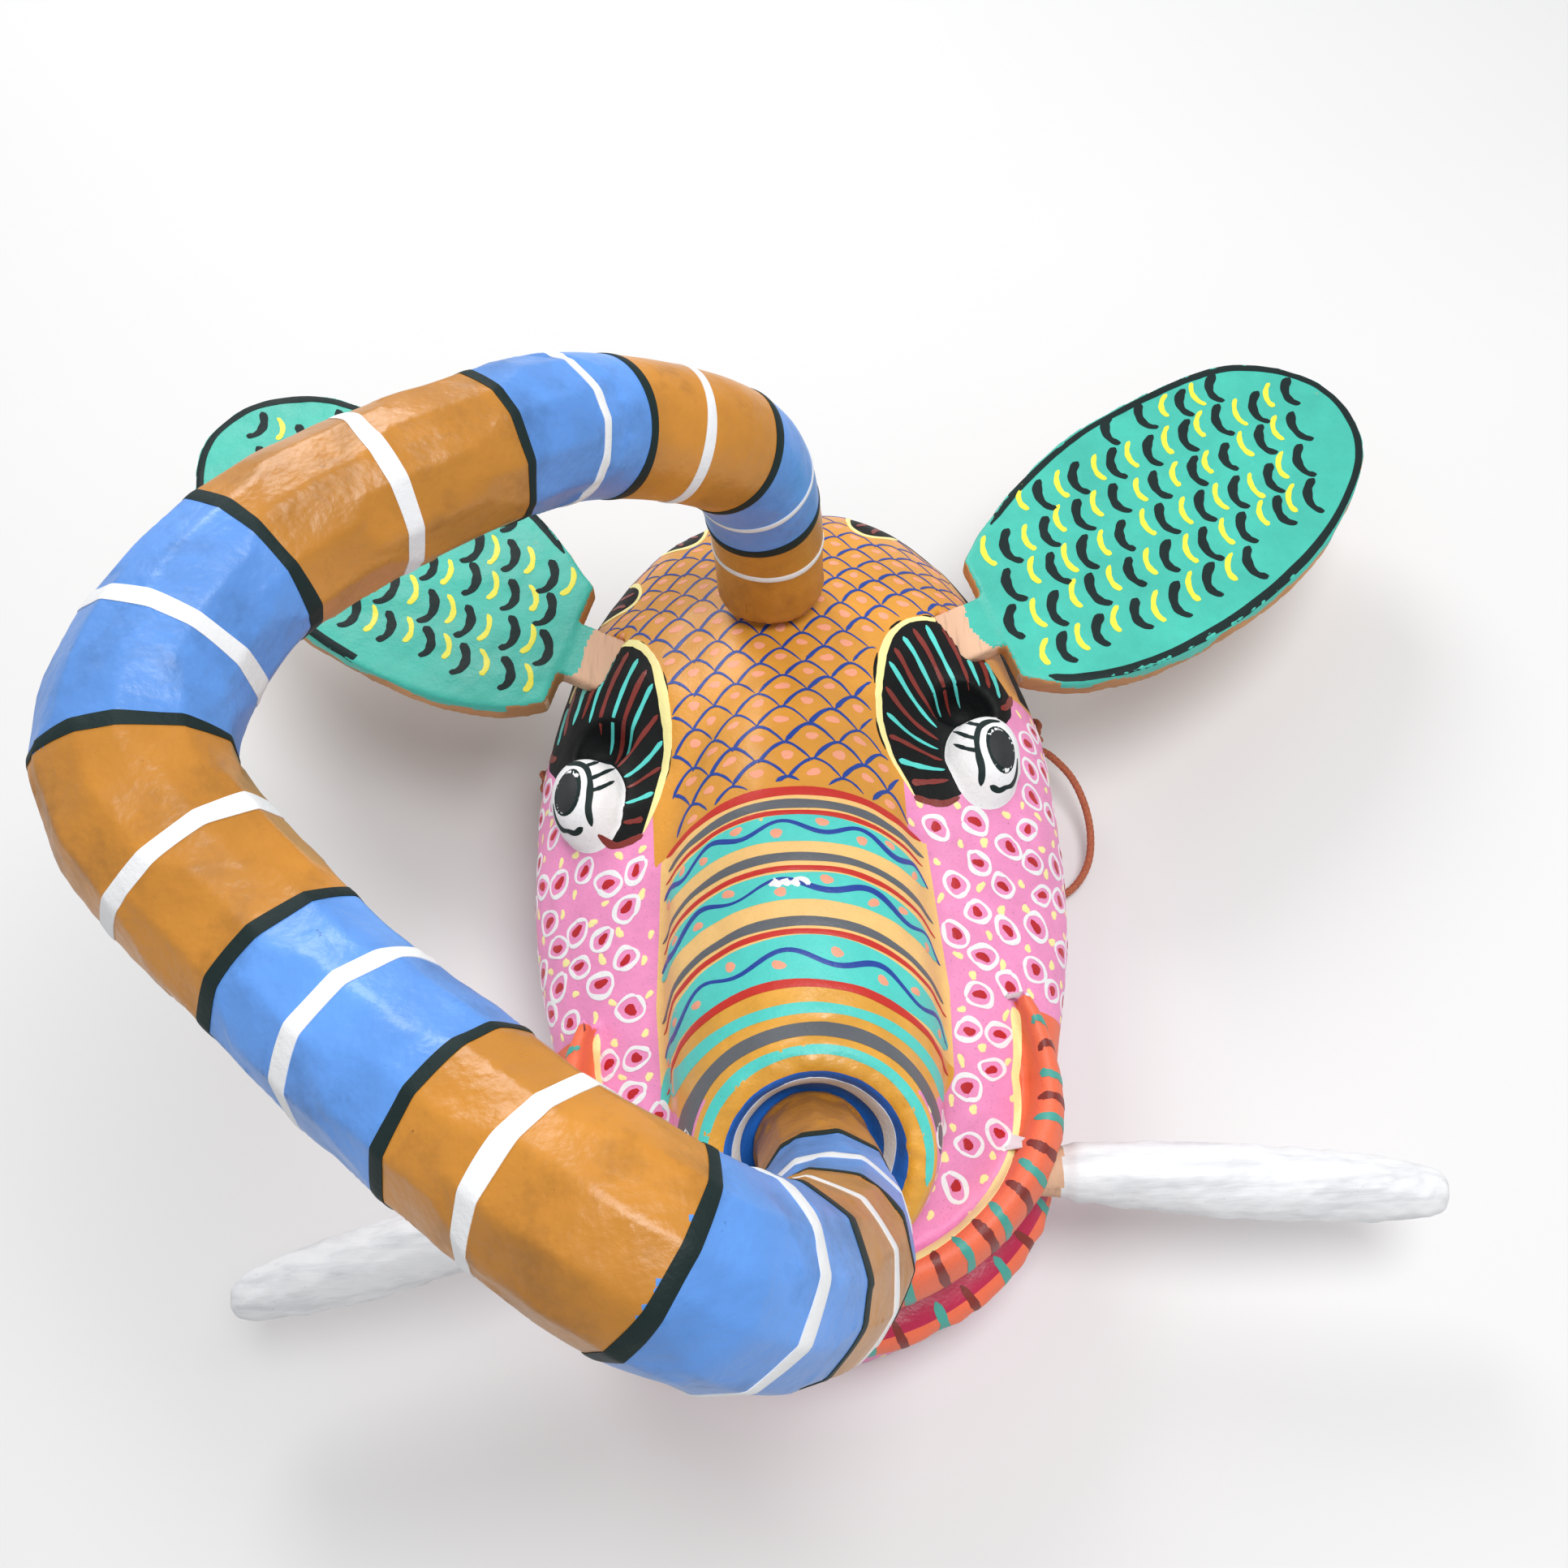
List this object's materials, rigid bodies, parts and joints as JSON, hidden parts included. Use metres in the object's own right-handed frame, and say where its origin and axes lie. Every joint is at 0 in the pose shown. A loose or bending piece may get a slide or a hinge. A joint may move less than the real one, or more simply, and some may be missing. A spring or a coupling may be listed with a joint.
{
  "type": "carved elephant mask",
  "caption": "Painted wooden elephant mask lying on its open back, with plug-in curled trunk, ears and tusks, and a tie cord.",
  "frame": {"origin": "middle of the whole piece in plan, on the surface that the mask's rear rim rests on", "axes": "+Z out of the face, away from the wearer; +Y towards the crown; -Y towards the chin; +X towards the viewer's right"},
  "size_m": [0.451, 0.408, 0.2709],
  "materials": {
    "head_paint": "hand-painted carved wood",
    "trunk_paint": "hand-painted carved wood, satin",
    "ear_paint": "hand-painted carved wood, matt",
    "tusk_paint": "brushed white paint on wood",
    "cord": "twisted fibre"
  },
  "bodies": {
    "head": {"mask_head": "head_paint", "knot_right": "cord", "knot_left": "cord", "cord": "cord"},
    "trunk": {"trunk": "trunk_paint"},
    "ear_right": {"ear_right": "ear_paint"},
    "ear_left": {"ear_left": "ear_paint"},
    "tusk_right": {"tusk_right": "tusk_paint"},
    "tusk_left": {"tusk_left": "tusk_paint"}
  },
  "joints": [
    {"name": "trunk_pull", "type": "slide", "parent": "head", "child": "trunk", "axis": [0.1201, -0.6005, 0.7906], "range_m": [0, 0.045]},
    {"name": "ear_right_pull", "type": "slide", "parent": "head", "child": "ear_right", "axis": [0.9025, 0.4212, -0.0902], "range_m": [0, 0.03]},
    {"name": "ear_left_pull", "type": "slide", "parent": "head", "child": "ear_left", "axis": [-0.8754, 0.483, 0.0201], "range_m": [0, 0.03]},
    {"name": "tusk_right_pull", "type": "slide", "parent": "head", "child": "tusk_right", "axis": [0.9933, -0.1002, -0.0584], "range_m": [0, 0.028]},
    {"name": "tusk_left_pull", "type": "slide", "parent": "head", "child": "tusk_left", "axis": [-0.9761, -0.2079, -0.0633], "range_m": [0, 0.028]}
  ]
}
